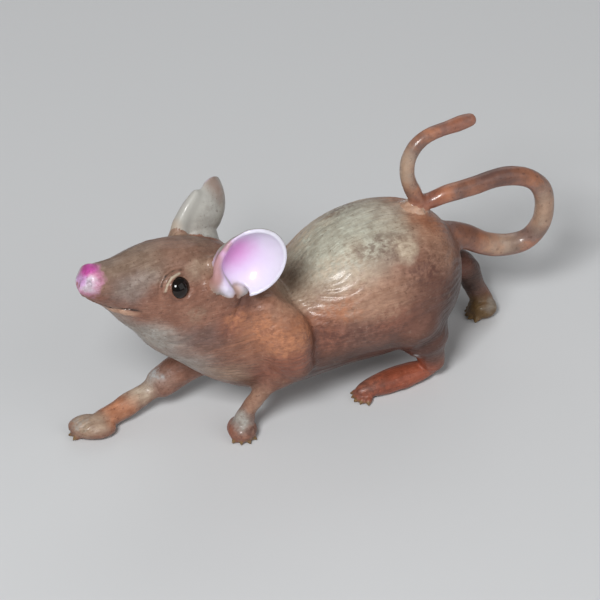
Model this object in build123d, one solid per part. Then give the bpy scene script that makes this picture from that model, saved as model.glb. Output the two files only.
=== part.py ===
from build123d import *
import os
from math import cos, radians, sin

# A painted bronze mouse that stands on its feet, mid stride. All sizes are in millimetres.
# +Z is up, the mouse faces -X and its left side is -Y. Hollow and solid castings are pegged
# together: the head laps into the neck, and the limbs, ears and tail sit on the outside of them.

# Body: one smooth form from the nose to the rump, cast as a hollow head and a hollow torso
BODY_LENGTH = 109.0
TRUNK_WIDTH = 39.0
TRUNK_DEPTH = 39.0
TRUNK_AXIS_HEIGHT = 27.6
NOSE_RISE = 31.2
CAST_WALL = 3.6
NECK_LAP_LENGTH = 4.0
NECK_LAP_CLEARANCE = 0.05

# Face
NOSE_DIAMETER = 9.8
EYE_DIAMETER = 6.4
EYE_CLEARANCE = 0.05
LID_THICKNESS = 0.6
MOUTH_GROOVE_WIDTH = 0.7
MOUTH_GROOVE_DEPTH = 0.6
NOSTRIL_DIAMETER = 1.6

# Ears
EAR_LENGTH = 20.5
EAR_WIDTH = 17.0
EAR_CUP_DEPTH = 4.6
EAR_WALL = 1.3
EAR_STALK_WIDTH = 12.5
EAR_STALK_DEPTH = 8.0
EAR_FOLD_DIAMETER = 3.4
EAR_NOTCH_DIAMETER = 6.0

# Legs
STANCE_WIDTH = 24.0
FORELEG_DIAMETER = 15.0
FORE_PAW_LENGTH = 12.4
HIND_LEG_DIAMETER = 22.0
HIND_FOOT_LENGTH = 25.2
FOOT_HEIGHT = 5.8
FORE_PAW_WIDTH = 7.8
HIND_FOOT_WIDTH = 7.2
FORE_TOE_LENGTH = 0.6
HIND_TOE_LENGTH = 1.2
TOE_DIAMETER = 2.3
CLAW_LENGTH = 0.5

# Tail
TAIL_ROOT_DIAMETER = 7.0
TAIL_TIP_DIAMETER = 3.5
TAIL_LOOP_LENGTH = 34.0
TAIL_LOOP_LEAN = 6.0
TAIL_CURL_HEIGHT = 21.4
WELD_DIAMETER = 6.6

# Pegs that hold the pieces on
LIMB_PEG_DIAMETER = 5.0
LIMB_PEG_BITE = 2.2
EAR_PEG_DIAMETER = 2.6
TAIL_PEG_DIAMETER = 3.6
TAIL_PEG_BITE = 1.6
PEG_CLEARANCE = 0.05

# Body sections from the nose to the rump: place along the body, rise of the middle,
# half width and half depth, as shares of the length, the nose's rise and the trunk's half sizes
BODY_SECTION_SHARES = (
    (0.007, 0.988, 0.138, 0.138),
    (0.027, 0.958, 0.221, 0.226),
    (0.070, 0.895, 0.287, 0.313),
    (0.124, 0.812, 0.390, 0.500),
    (0.189, 0.715, 0.503, 0.675),
    (0.263, 0.523, 0.646, 0.811),
    (0.336, 0.310, 0.725, 0.841),
    (0.409, 0.040, 0.735, 0.818),
    (0.492, -0.160, 0.745, 0.760),
    (0.593, -0.122, 0.850, 0.803),
    (0.718, 0.008, 0.995, 1.017),
    (0.826, 0.030, 0.995, 1.014),
    (0.901, 0.018, 0.885, 0.905),
    (0.960, 0.028, 0.600, 0.655),
    (0.989, 0.032, 0.330, 0.355),
)
NECK_SHARE = 0.409
HOLLOW_FROM_SHARE = 0.230
HOLLOW_TO_SHARE = 0.95
NECK_LAP_SHARE = 0.5
MIDDLE_SHARE = 0.5
DIRECTION_STEP_SHARE = 0.03

# Face: places along the body, with angles up from level round the section
NOSE_PAD_SHARE = 0.033
NOSE_PAD_LENGTH_SHARE = 0.72
NOSE_PAD_WIDTH_SHARE = 0.94
EYE_SHARE = 0.195
EYE_ANGLE = 23.5
EYE_SINK_SHARE = 0.28
LID_RISE_SHARE = 0.30
NOSTRIL_SHARE = 0.010
NOSTRIL_ANGLE = 20.0
MOUTH_LINE_SHARES = ((0.000, 0.850), (0.034, 0.790), (0.063, 0.727), (0.104, 0.717), (0.123, 0.690))

# Ears: middle of the cup and foot of the stalk as shares along, out and up; the rolled front edge
# and the notch at the foot are at angles round the rim from the foot
LEFT_EAR_CUP_SHARES = (0.382, 0.700, 0.984)
RIGHT_EAR_CUP_SHARES = (0.380, 0.700, 0.917)
EAR_FOOT_SHARES = (0.319, 0.300, 0.560)
EAR_JOIN_SHARE = 0.55
EAR_PEG_SHARE = 0.90
EAR_FOLD_TURNS = (12.0, 40.0, 68.0, 98.0)
EAR_FOLD_TAPER_SHARES = (1.0, 0.86, 0.64, 0.44)
EAR_NOTCH_TURN = -18.0
LEFT_EAR_TURN = 68.0
RIGHT_EAR_TURN = 60.0
EAR_TILT = 9.0

# Legs: places as shares of the body's length, the half stance and the trunk's height,
# each with a share of the leg's half diameter
LEFT_UPPER_ARM_SHARES = (
    (0.428, 0.84, 1.42, 0.72),
    (0.451, 0.94, 1.24, 0.94),
    (0.476, 1.00, 1.02, 1.02),
    (0.494, 1.02, 0.81, 0.86),
)
LEFT_FOREARM_SHARES = (
    (0.490, 1.04, 0.74, 0.62),
    (0.448, 1.03, 0.61, 0.42),
    (0.409, 0.95, 0.45, 0.30),
    (0.383, 0.88, 0.27, 0.30),
    (0.375, 0.84, 0.15, 0.36),
)
RIGHT_FORELEG_SHARES = (
    (0.444, 0.50, 0.62, 0.95),
    (0.355, 0.63, 0.55, 0.74),
    (0.295, 0.76, 0.41, 0.58),
    (0.238, 0.84, 0.28, 0.47),
    (0.183, 0.86, 0.19, 0.39),
    (0.130, 0.82, 0.14, 0.37),
    (0.088, 0.77, 0.11, 0.38),
)
LEFT_THIGH_SHARES = (
    (0.779, 0.82, 1.02, 0.74),
    (0.812, 0.94, 0.82, 0.88),
    (0.849, 0.96, 0.60, 0.64),
    (0.868, 1.02, 0.38, 0.45),
    (0.877, 1.05, 0.22, 0.33),
)
RIGHT_THIGH_SHARES = (
    (0.820, 0.76, 0.95, 0.80),
    (0.904, 0.84, 0.76, 0.84),
    (0.986, 0.76, 0.68, 0.60),
    (1.048, 0.64, 0.62, 0.40),
    (1.079, 0.56, 0.51, 0.31),
    (1.091, 0.52, 0.36, 0.27),
    (1.106, 0.46, 0.21, 0.26),
    (1.114, 0.38, 0.12, 0.26),
)

# Feet: middle of each foot as shares of the length and the half stance, with its heading
# in degrees out from straight ahead, and the fan of its toes
LEFT_FORE_PAW_SHARES = (0.371, 0.86)
RIGHT_FORE_PAW_SHARES = (0.063, 0.75)
LEFT_HIND_FOOT_SHARES = (0.787, 0.99)
RIGHT_HIND_FOOT_SHARES = (1.106, 0.29)
LEFT_FORE_HEADING = 75.0
RIGHT_FORE_HEADING = 31.0
LEFT_HIND_HEADING = 0.0
RIGHT_HIND_HEADING = 25.0
FORE_TOE_FAN = (-50.0, -17.0, 17.0, 50.0)
HIND_TOE_FAN = (-34.0, -12.0, 10.0, 34.0, 62.0)
HANGING_PAW_SHARE = 0.70
PUSHING_PAW_SHARE = 0.31
PAW_RISE_SHARE = 0.44
KNUCKLE_SHARE = 0.53
TOE_START_SHARE = 0.30
TOE_RISE_SHARE = 0.42
TOE_TAPER_SHARE = 0.80
CLAW_DROP_SHARE = 0.30
CLAW_DIAMETER_SHARE = 0.62
CLAW_POINT_SHARE = 0.40

# Pegs: along the body, with the angle up from level where each limb sits
LEFT_FORE_PEG = (0.473, -22.0)
RIGHT_FORE_PEG = (0.473, -60.0)
LEFT_HIND_PEG = (0.811, -28.0)
RIGHT_HIND_PEG = (0.896, -30.0)
PEG_ROOT_SHARE = 1.25

# Tail: its peg starts inside the rump, at a share of the body's length and of the climb; the loop
# runs from there to the rump's top, in shares of the loop's length, its lean and the climb; the
# curl rises from the loop's end, in shares of the loop's length and its height
TAIL_ROOT_RISE_SHARE = 0.135
TAIL_PEG_START_SHARES = (0.9535, 0.22)
TAIL_SEAT_SHARE = 0.913
TAIL_LOOP_SHARES = (
    (0.420, 0.03, -0.08),
    (0.530, 0.08, -0.26),
    (0.700, 0.33, -0.38),
    (0.850, 0.58, -0.34),
    (0.945, 0.83, -0.10),
    (0.985, 1.00, 0.37),
    (0.935, 1.00, 0.85),
    (0.825, 0.92, 1.09),
    (0.600, 0.75, 1.23),
    (0.365, 0.50, 1.15),
    (0.126, 0.25, 1.08),
    (0.000, 0.05, 1.02),
)
TAIL_CURL_SHARES = (
    (-0.080, 0.170),
    (-0.130, 0.390),
    (-0.140, 0.680),
    (-0.074, 0.875),
    (0.044, 0.975),
    (0.185, 0.995),
    (0.395, 1.000),
)
TAIL_TAPER_SHARES = (1.0, 0.50, 0.40, 0.12, 0.0)
WELD_SEAT_SHARE = 0.885
WELD_LENGTH_SHARE = 1.35
WELD_HEIGHT_SHARE = 0.72
DOME_SHARES = ((0.50, 0.866), (0.82, 0.572))


def shared(shares, side):
    """A place from shares of the body's length, half width and the nose's rise."""
    along, out, rise = shares
    return Vector(
        along * BODY_LENGTH,
        side * out * TRUNK_WIDTH / 2,
        TRUNK_AXIS_HEIGHT + rise * NOSE_RISE,
    )


def between(first, second, share):
    """The value that lies that share of the way from the first to the second."""
    return first + (second - first) * share


def section_at(along):
    """Middle, half width and half depth of the body at a share of its length."""
    rows = BODY_SECTION_SHARES
    index = 0
    while index < len(rows) - 2 and rows[index + 1][0] < along:
        index += 1
    low, high = rows[index], rows[index + 1]
    share = (along - low[0]) / (high[0] - low[0])
    rise, width, depth = (between(low[i], high[i], share) for i in (1, 2, 3))
    return shared((along, 0, rise), 1), width * TRUNK_WIDTH / 2, depth * TRUNK_DEPTH / 2


def body_plane(along):
    """Plane across the body that faces the rump, with its x to the right and its y up."""
    before = section_at(max(along - DIRECTION_STEP_SHARE, 0))[0]
    after = section_at(min(along + DIRECTION_STEP_SHARE, 1))[0]
    return Plane(section_at(along)[0], x_dir=(0, 1, 0), z_dir=after - before)


def skin_point(along, angle, side):
    """A place on the body's skin, at an angle up from level on one side."""
    middle, half_width, half_depth = section_at(along)
    out = Vector(0, side, 0) * (half_width * cos(radians(angle)))
    return middle + out + body_plane(along).y_dir * (half_depth * sin(radians(angle)))


def body_form(inset, first=0.0, last=1.0):
    """The body's smooth form, set in from the skin, from one share of its length to another."""
    sections = [Vertex(*section_at(first)[0])]
    for row in BODY_SECTION_SHARES:
        if first < row[0] < last:
            middle, half_width, half_depth = section_at(row[0])
            sections.append(body_plane(row[0]) * Ellipse(half_width - inset, half_depth - inset))
    sections.append(Vertex(*section_at(last)[0]))
    return loft(sections)


def limb_form(places, radii):
    """A smooth round form through a row of places, with both ends domed."""
    last = len(places) - 1
    sections = []
    for index, (place, radius) in enumerate(zip(places, radii)):
        ahead = (places[min(index + 1, last)] - places[max(index - 1, 0)]).normalized()
        rings = [(0, 1)]
        if index == 0:
            sections.append(Vertex(*(place - ahead * radius)))
            rings = [(-reach, girth) for reach, girth in reversed(DOME_SHARES)] + rings
        if index == last:
            rings = rings + list(DOME_SHARES)
        for reach, girth in rings:
            plane = Plane(place + ahead * (reach * radius), x_dir=(0, 1, 0), z_dir=ahead)
            sections.append(plane * Circle(girth * radius))
        if index == last:
            sections.append(Vertex(*(place + ahead * radius)))
    return loft(sections)


def ball(diameter, length_share=1.0, width_share=1.0, height_share=1.0):
    """A ball, drawn out or flattened along X, Y and Z."""
    return scale(Sphere(diameter / 2), by=(length_share, width_share, height_share))


def rod(start, end, diameter):
    """A round rod from one place to another."""
    reach = end - start
    plane = Plane(start, z_dir=reach)
    return plane * Cylinder(diameter / 2, reach.length, align=(Align.CENTER, Align.CENTER, Align.MIN))


def largest(shape):
    """The largest solid of a shape, without slivers that a cut leaves behind."""
    return Part() + max(shape.solids(), key=lambda solid: solid.volume)


def leg_form(shares, side, diameter):
    """A leg's smooth form from shares of the body's length, the half stance and the height."""
    places = [
        Vector(along * BODY_LENGTH, side * out * STANCE_WIDTH / 2, rise * TRUNK_AXIS_HEIGHT)
        for along, out, rise, _ in shares
    ]
    return limb_form(places, [row[3] * diameter / 2 for row in shares])


def level_way(bearing):
    """The level direction of a bearing in degrees."""
    return Vector(cos(radians(bearing)), sin(radians(bearing)), 0)


def turned_finger(radius, tip_radius, length):
    """A tapered finger with round ends, turned about Z."""
    back = CenterArc((0, 0), radius, -90, 90)
    side = Line((radius, 0), (tip_radius, length))
    front = CenterArc((0, length), tip_radius, 0, 90)
    axis = Line((0, length + tip_radius), (0, -radius))
    return revolve(Plane.XZ * make_face(back + side + front + axis), Axis.Z)


def toe(start, bearing, length):
    """One toe with its claw, level along a bearing from a place at the toe's own height."""
    ahead = level_way(bearing)
    tip = start + ahead * length
    tip_radius = TOE_DIAMETER * TOE_TAPER_SHARE / 2
    finger = Plane(start, z_dir=ahead) * turned_finger(TOE_DIAMETER / 2, tip_radius, length)
    fall = (ahead - Vector(0, 0, CLAW_DROP_SHARE)).normalized()
    half = TOE_DIAMETER * CLAW_DIAMETER_SHARE / 2
    claw_length = tip_radius + CLAW_LENGTH
    claw = Plane(tip, z_dir=fall) * Cone(
        half, half * CLAW_POINT_SHARE, claw_length, align=(Align.CENTER, Align.CENTER, Align.MIN)
    )
    return finger + claw


def foot_form(shares, side, heading, length, width, fan, toe_length):
    """A low foot with its fan of toes; its heading turns out from straight ahead."""
    along, out = shares
    place = Vector(along * BODY_LENGTH, side * out * STANCE_WIDTH / 2, FOOT_HEIGHT * PAW_RISE_SHARE)
    ahead = 180 - side * heading
    paw = ball(width, length / width, 1, FOOT_HEIGHT / width)
    form = Pos(*place) * Rot(0, 0, ahead) * paw
    knuckles = Vector(place.X, place.Y, TOE_DIAMETER * TOE_RISE_SHARE)
    knuckles += level_way(ahead) * (length / 2 - width * KNUCKLE_SHARE)
    for turn in fan:
        start = knuckles + level_way(ahead + turn) * (width * TOE_START_SHARE)
        form += toe(start, ahead + turn, toe_length)
    return form


def peg_ends(spot, side):
    """Inner and outer end of a limb's peg, square to the skin."""
    along, angle = spot
    skin = skin_point(along, angle, side)
    outward = (skin - section_at(along)[0]).normalized()
    return skin - outward * (CAST_WALL * PEG_ROOT_SHARE), skin + outward * LIMB_PEG_BITE


def peg_hole(start, end, diameter):
    """The hole for a peg, deep enough to clear the peg's inner end."""
    deeper = start - (end - start).normalized() * PEG_CLEARANCE
    return rod(deeper, end, diameter + 2 * PEG_CLEARANCE)


def seated_leg(form, spot, side):
    """A leg cut to the torso's skin and to the ground, with its peg; and the peg's hole."""
    start, end = peg_ends(spot, side)
    leg = largest(form - body - below_ground)
    return leg + rod(start, end, LIMB_PEG_DIAMETER), peg_hole(start, end, LIMB_PEG_DIAMETER)


def fore_paw(shares, side, heading, length):
    """A broad fore paw with four short toes."""
    return foot_form(shares, side, heading, length, FORE_PAW_WIDTH, FORE_TOE_FAN, FORE_TOE_LENGTH)


def hind_foot(shares, side, heading, length):
    """A hind foot with five toes."""
    return foot_form(shares, side, heading, length, HIND_FOOT_WIDTH, HIND_TOE_FAN, HIND_TOE_LENGTH)


def left_foreleg_form():
    """Shoulder and upper arm, forearm bent back under the shoulder, and paw."""
    upper = leg_form(LEFT_UPPER_ARM_SHARES, -1, FORELEG_DIAMETER)
    lower = leg_form(LEFT_FOREARM_SHARES, -1, FORELEG_DIAMETER)
    length = FORE_PAW_LENGTH * HANGING_PAW_SHARE
    return upper + lower + fore_paw(LEFT_FORE_PAW_SHARES, -1, LEFT_FORE_HEADING, length)


def right_foreleg_form():
    """Foreleg stretched out ahead, low to the ground."""
    arm = leg_form(RIGHT_FORELEG_SHARES, 1, FORELEG_DIAMETER)
    return arm + fore_paw(RIGHT_FORE_PAW_SHARES, 1, RIGHT_FORE_HEADING, FORE_PAW_LENGTH)


def left_hind_leg_form():
    """Haunch, hock and a long foot flat on the ground."""
    thigh = leg_form(LEFT_THIGH_SHARES, -1, HIND_LEG_DIAMETER)
    return thigh + hind_foot(LEFT_HIND_FOOT_SHARES, -1, LEFT_HIND_HEADING, HIND_FOOT_LENGTH)


def right_hind_leg_form():
    """Haunch and shank stretched back, pushing off from the toes."""
    thigh = leg_form(RIGHT_THIGH_SHARES, 1, HIND_LEG_DIAMETER)
    length = HIND_FOOT_LENGTH * PUSHING_PAW_SHARE
    return thigh + hind_foot(RIGHT_HIND_FOOT_SHARES, 1, RIGHT_HIND_HEADING, length)


def tail_route():
    """Places along the tail's middle, from inside the rump over the rump's top to the tip."""
    middle, _, half_depth = section_at(TAIL_SEAT_SHARE)
    low = TRUNK_AXIS_HEIGHT + TAIL_ROOT_RISE_SHARE * NOSE_RISE
    high = middle.Z + half_depth + tail_diameter(MIDDLE_SHARE) / 2
    along, rise = TAIL_PEG_START_SHARES
    places = [Vector(along * BODY_LENGTH, 0, between(low, high, rise))]
    for reach, lean, climb in TAIL_LOOP_SHARES:
        side = -lean * TAIL_LOOP_LEAN
        places.append(Vector(middle.X + reach * TAIL_LOOP_LENGTH, side, between(low, high, climb)))
    loop_end = places[-1]
    for reach, climb in TAIL_CURL_SHARES:
        places.append(loop_end + Vector(reach * TAIL_LOOP_LENGTH, 0, climb * TAIL_CURL_HEIGHT))
    return places


def tail_diameter(share):
    """The tail's diameter at a share of its route."""
    step = share * (len(TAIL_TAPER_SHARES) - 1)
    index = min(int(step), len(TAIL_TAPER_SHARES) - 2)
    taper = between(TAIL_TAPER_SHARES[index], TAIL_TAPER_SHARES[index + 1], step - index)
    return between(TAIL_TIP_DIAMETER, TAIL_ROOT_DIAMETER, taper)


def ear_plane(side, cup_shares, turn_angle):
    """Plane across the mouth of an ear's cup; its z looks out of the cup, its x to the foot."""
    cup = shared(cup_shares, side)
    level = cos(radians(EAR_TILT))
    turn = radians(turn_angle)
    outlook = Vector(-cos(turn) * level, side * sin(turn) * level, sin(radians(EAR_TILT)))
    return Plane(cup, x_dir=shared(EAR_FOOT_SHARES, side) - cup, z_dir=outlook)


def rim_place(plane, turn):
    """A place on an ear's rim, at an angle from the foot."""
    half_length = (EAR_LENGTH - EAR_WALL) / 2 * cos(radians(turn))
    half_width = (EAR_WIDTH - EAR_WALL) / 2 * sin(radians(turn))
    return plane.origin + plane.x_dir * half_length + plane.y_dir * half_width


def cup_profile(radius, depth):
    """Half the outline of a bowl that opens upwards at the level of its rim."""
    bottom = (0, -depth)
    bowl = TangentArc(bottom, (radius, 0), tangent=(1, 0))
    return Plane.XZ * make_face(bowl + Line((radius, 0), (0, 0)) + Line((0, 0), bottom))


def ear(side, cup_shares, turn_angle):
    """A cupped ear with a rounded rim and a rolled front edge, on a stalk; and its peg's ends."""
    plane = ear_plane(side, cup_shares, turn_angle)
    radius = EAR_LENGTH / 2
    narrow = (1, EAR_WIDTH / EAR_LENGTH, 1)
    outer = revolve(cup_profile(radius, EAR_CUP_DEPTH + EAR_WALL), Axis.Z)
    inner = revolve(cup_profile(radius - EAR_WALL, EAR_CUP_DEPTH), Axis.Z)
    rim = Torus(radius - EAR_WALL / 2, EAR_WALL / 2)
    foot = shared(EAR_FOOT_SHARES, side)
    join = plane.origin + plane.x_dir * (radius * EAR_JOIN_SHARE) - plane.z_dir * EAR_CUP_DEPTH
    middle = Plane(between(foot, join, MIDDLE_SHARE), x_dir=foot - join, z_dir=plane.z_dir)
    stalk_length = (foot - join).length + EAR_STALK_DEPTH
    stalk = middle * ball(EAR_STALK_DEPTH, stalk_length / EAR_STALK_DEPTH, EAR_STALK_WIDTH / EAR_STALK_DEPTH)
    bowl = plane * scale(outer, by=narrow) + plane * scale(rim, by=narrow)
    room = Pos(0, 0, radius) * Cylinder(radius - EAR_WALL, 2 * radius)
    form = bowl + stalk - plane * scale(inner, by=narrow) - plane * scale(room, by=narrow)
    fold = limb_form(
        [rim_place(plane, side * turn) for turn in EAR_FOLD_TURNS],
        [share * EAR_FOLD_DIAMETER / 2 for share in EAR_FOLD_TAPER_SHARES],
    )
    notch = Pos(*rim_place(plane, side * EAR_NOTCH_TURN)) * Sphere(EAR_NOTCH_DIAMETER / 2)
    return form - notch + fold, foot, between(foot, join, EAR_PEG_SHARE)


def eye_seat(side):
    """Plane at the middle of an eye's bead, sunk below the skin; its z looks out of the head."""
    skin = skin_point(EYE_SHARE, EYE_ANGLE, side)
    outward = (skin - section_at(EYE_SHARE)[0]).normalized()
    return Plane(skin - outward * (EYE_DIAMETER * EYE_SINK_SHARE), z_dir=outward)


def eye_lid():
    """The shell of an eye's lid, open to the front."""
    edge = Plane.XY.offset(EYE_DIAMETER * LID_RISE_SHARE)
    return split(Sphere(EYE_DIAMETER / 2 + LID_THICKNESS), edge, keep=Keep.BOTTOM)


def mouth_groove():
    """A shallow groove round the muzzle along the mouth's line."""
    line = [
        Vector(along * BODY_LENGTH, TRUNK_AXIS_HEIGHT + rise * NOSE_RISE)
        for along, rise in MOUTH_LINE_SHARES
    ]
    half = Vector(0, MOUTH_GROOVE_WIDTH / 2)
    upper = [place + half for place in line]
    lower = [place - half for place in reversed(line)]
    slot = Plane.XZ * make_face(Polyline(*upper, *lower, close=True))
    return extrude(slot, TRUNK_WIDTH / 2, both=True) - body_form(MOUTH_GROOVE_DEPTH)


# The body's form, its hollow and the ground
body = body_form(0)
hollow = body_form(CAST_WALL, HOLLOW_FROM_SHARE, HOLLOW_TO_SHARE)
below_ground = Pos(BODY_LENGTH / 2, 0, -BODY_LENGTH / 2) * Box(2 * BODY_LENGTH, BODY_LENGTH, BODY_LENGTH)

pieces = {}
torso_holes = []
head_holes = []

# Legs
for name, form, spot, side in (
    ("left_foreleg", left_foreleg_form(), LEFT_FORE_PEG, -1),
    ("right_foreleg", right_foreleg_form(), RIGHT_FORE_PEG, 1),
    ("left_hind_leg", left_hind_leg_form(), LEFT_HIND_PEG, -1),
    ("right_hind_leg", right_hind_leg_form(), RIGHT_HIND_PEG, 1),
):
    pieces[name], hole = seated_leg(form, spot, side)
    torso_holes.append(hole)

# Tail, with its peg in the rump, and the bead that holds the loop to the rump's top
route = tail_route()
tail_form = limb_form(route, [tail_diameter(i / (len(route) - 1)) / 2 for i in range(len(route))])
tail_peg_end = route[1] + (route[1] - route[0]).normalized() * TAIL_PEG_BITE
pieces["tail"] = largest(tail_form - body) + rod(route[0], tail_peg_end, TAIL_PEG_DIAMETER)
torso_holes.append(peg_hole(route[0], route[1], TAIL_PEG_DIAMETER))
weld_middle, _, weld_rise = section_at(WELD_SEAT_SHARE)
bead = Pos(*weld_middle) * Pos(0, 0, weld_rise) * ball(WELD_DIAMETER, WELD_LENGTH_SHARE, 1, WELD_HEIGHT_SHARE)
pieces["tail_weld"] = largest(bead - body - tail_form)

# Ears and eyes
lids = Part()
for name, side, cup_shares, turn_angle in (
    ("left", -1, LEFT_EAR_CUP_SHARES, LEFT_EAR_TURN),
    ("right", 1, RIGHT_EAR_CUP_SHARES, RIGHT_EAR_TURN),
):
    form, start, end = ear(side, cup_shares, turn_angle)
    pieces[name + "_ear"] = largest(form - body) + rod(start, end, EAR_PEG_DIAMETER)
    head_holes.append(peg_hole(start, end, EAR_PEG_DIAMETER))
    seat = eye_seat(side)
    pieces[name + "_eye"] = seat * Sphere(EYE_DIAMETER / 2)
    lids += seat * eye_lid()
    head_holes.append(seat * Sphere(EYE_DIAMETER / 2 + EYE_CLEARANCE))
    head_holes.append(Pos(*skin_point(NOSTRIL_SHARE, NOSTRIL_ANGLE, side)) * Sphere(NOSTRIL_DIAMETER / 2))

# Head and torso, parted square across the neck, with the head's spigot lapped into the torso
neck = body_plane(NECK_SHARE)
_, neck_half_width, neck_half_depth = section_at(NECK_SHARE)
lap_inset = CAST_WALL * NECK_LAP_SHARE
spigot_outline = neck * Ellipse(neck_half_width - lap_inset, neck_half_depth - lap_inset)
spigot = extrude(spigot_outline, NECK_LAP_LENGTH, dir=neck.z_dir)
recess_inset = lap_inset - NECK_LAP_CLEARANCE
recess_outline = neck * Ellipse(neck_half_width - recess_inset, neck_half_depth - recess_inset)
recess = extrude(recess_outline, NECK_LAP_LENGTH + NECK_LAP_CLEARANCE, dir=neck.z_dir)
front = split(body, neck, keep=Keep.BOTTOM)
rear = split(body, neck, keep=Keep.TOP)
nose_pad = ball(NOSE_DIAMETER, NOSE_PAD_LENGTH_SHARE, NOSE_PAD_WIDTH_SHARE)
nose = Pos(*section_at(NOSE_PAD_SHARE)[0]) * nose_pad
head = front + nose + lids + spigot - hollow - mouth_groove()
for hole in head_holes:
    head -= hole
torso = rear - hollow - recess
for hole in torso_holes:
    torso -= hole
pieces["head"] = largest(head)
pieces["torso"] = largest(torso)

# The origin is at the middle of the ground under the whole figure
box = Compound(children=[Part() + piece for piece in pieces.values()]).bounding_box()
to_origin = Pos(-box.center().X, -box.center().Y, -box.min.Z)
os.makedirs("parts", exist_ok=True)
for name, piece in pieces.items():
    export_step(to_origin * piece, "parts/" + name + ".step")
print("size", box.size, "origin", box.center().X, box.center().Y, box.min.Z)
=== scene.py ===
import math

import bmesh
import bpy
import numpy as np
from bpy.props import FloatProperty, FloatVectorProperty, PointerProperty
from mathutils import Matrix, Vector, kdtree, noise
from mathutils.bvhtree import BVHTree


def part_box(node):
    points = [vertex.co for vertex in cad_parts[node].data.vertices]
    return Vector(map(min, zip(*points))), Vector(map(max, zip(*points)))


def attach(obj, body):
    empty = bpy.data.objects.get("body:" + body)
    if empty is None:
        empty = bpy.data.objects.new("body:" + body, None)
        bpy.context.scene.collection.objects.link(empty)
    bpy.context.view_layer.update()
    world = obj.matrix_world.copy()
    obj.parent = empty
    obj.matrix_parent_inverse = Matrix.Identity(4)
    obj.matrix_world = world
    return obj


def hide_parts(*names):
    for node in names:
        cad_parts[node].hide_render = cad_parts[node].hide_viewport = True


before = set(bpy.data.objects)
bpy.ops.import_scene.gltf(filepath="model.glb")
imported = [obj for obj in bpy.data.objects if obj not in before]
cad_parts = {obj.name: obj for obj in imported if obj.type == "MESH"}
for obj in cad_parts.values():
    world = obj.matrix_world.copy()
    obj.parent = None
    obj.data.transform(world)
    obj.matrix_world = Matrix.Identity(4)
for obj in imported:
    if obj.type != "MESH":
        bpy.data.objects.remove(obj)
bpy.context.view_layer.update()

bl_info = {
    "name": "Painted cast mouse",
    "version": (1, 0, 0),
    "blender": (4, 5, 0),
    "location": "3D View > Sidebar > Mouse",
    "description": "Chases, paints and lacquers the castings of a small bronze mouse, and sets its stage",
    "category": "Object",
}

MILLIMETRE = 0.001
FUR_CASTINGS = ("torso", "head", "left_foreleg", "right_foreleg", "left_hind_leg", "right_hind_leg")
EAR_CASTINGS = ("left_ear", "right_ear")
TAIL_CASTINGS = ("tail", "tail_weld")
EYES = ("left_eye", "right_eye")
LABELS = FUR_CASTINGS + EAR_CASTINGS + TAIL_CASTINGS + EYES
SKIN = "chased_skin"
FULL_STEP = 0.00035
SEAM_ROUNDS = 90
ROLL_BALLS = 9
ROLL_SMOOTHING = 0.35
FLOOR_REACH = 3.0


def node_middle(name):
    """Middle of a CAD node's box, in millimetres."""
    low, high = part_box(name)
    return (np.array(low) + np.array(high)) / 2 / MILLIMETRE


def node_radius(name):
    """Half the height of a CAD node's box, in millimetres."""
    low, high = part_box(name)
    return (high[2] - low[2]) / 2 / MILLIMETRE


MIDLINE = float(node_middle("head")[1])

# Folds that a chasing tool cuts or raises, on both sides of the midline: depth and half width in
# millimetres, then places along the fold as (along, out from the midline, up)
FOLDS = (
    (-0.35, 0.55, ((-67.6, 0.0, 60.2), (-67.9, 0.0, 58.0), (-66.6, 0.0, 55.4))),
    (-0.45, 0.80, ((-27.5, 11.8, 46.0), (-30.2, 13.2, 42.5), (-33.0, 13.4, 38.5))),
    (-0.22, 0.90, ((-33.4, 13.3, 38.3), (-42.5, 10.6, 36.8), (-47.5, 8.8, 36.8))),
    (0.32, 0.90, ((-61.5, 3.2, 48.9), (-57.5, 5.5, 48.5), (-54.8, 7.0, 47.8))),
)

# Wax rolled on at the root of each ear before the chasing: side, then places along the roll as
# (along, out, up, radius) in millimetres
EAR_ROLLS = (
    (-1, ((-35.5, 5.0, 49.0, 2.6), (-34.7, 6.0, 52.4, 2.2), (-33.1, 7.0, 55.8, 1.8), (-31.4, 8.2, 60.3, 1.4),
          (-28.9, 10.0, 64.5, 0.8))),
    (-1, ((-34.6, 11.4, 54.6, 1.5), (-36.0, 10.6, 51.5, 2.0), (-37.0, 9.5, 48.5, 2.2))),
    (-1, ((-33.0, 13.0, 52.6, 1.4), (-31.2, 12.4, 49.5, 1.8), (-29.8, 11.0, 46.5, 2.0))),
    (1, ((-36.0, 8.5, 53.5, 2.6), (-34.4, 9.4, 57.6, 2.2), (-31.4, 10.4, 61.6, 1.9),
         (-28.2, 11.4, 64.6, 1.4))),
    (1, ((-33.0, 13.0, 52.6, 1.4), (-31.2, 12.4, 49.5, 1.8), (-29.8, 11.0, 46.5, 2.0))),
)

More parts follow.
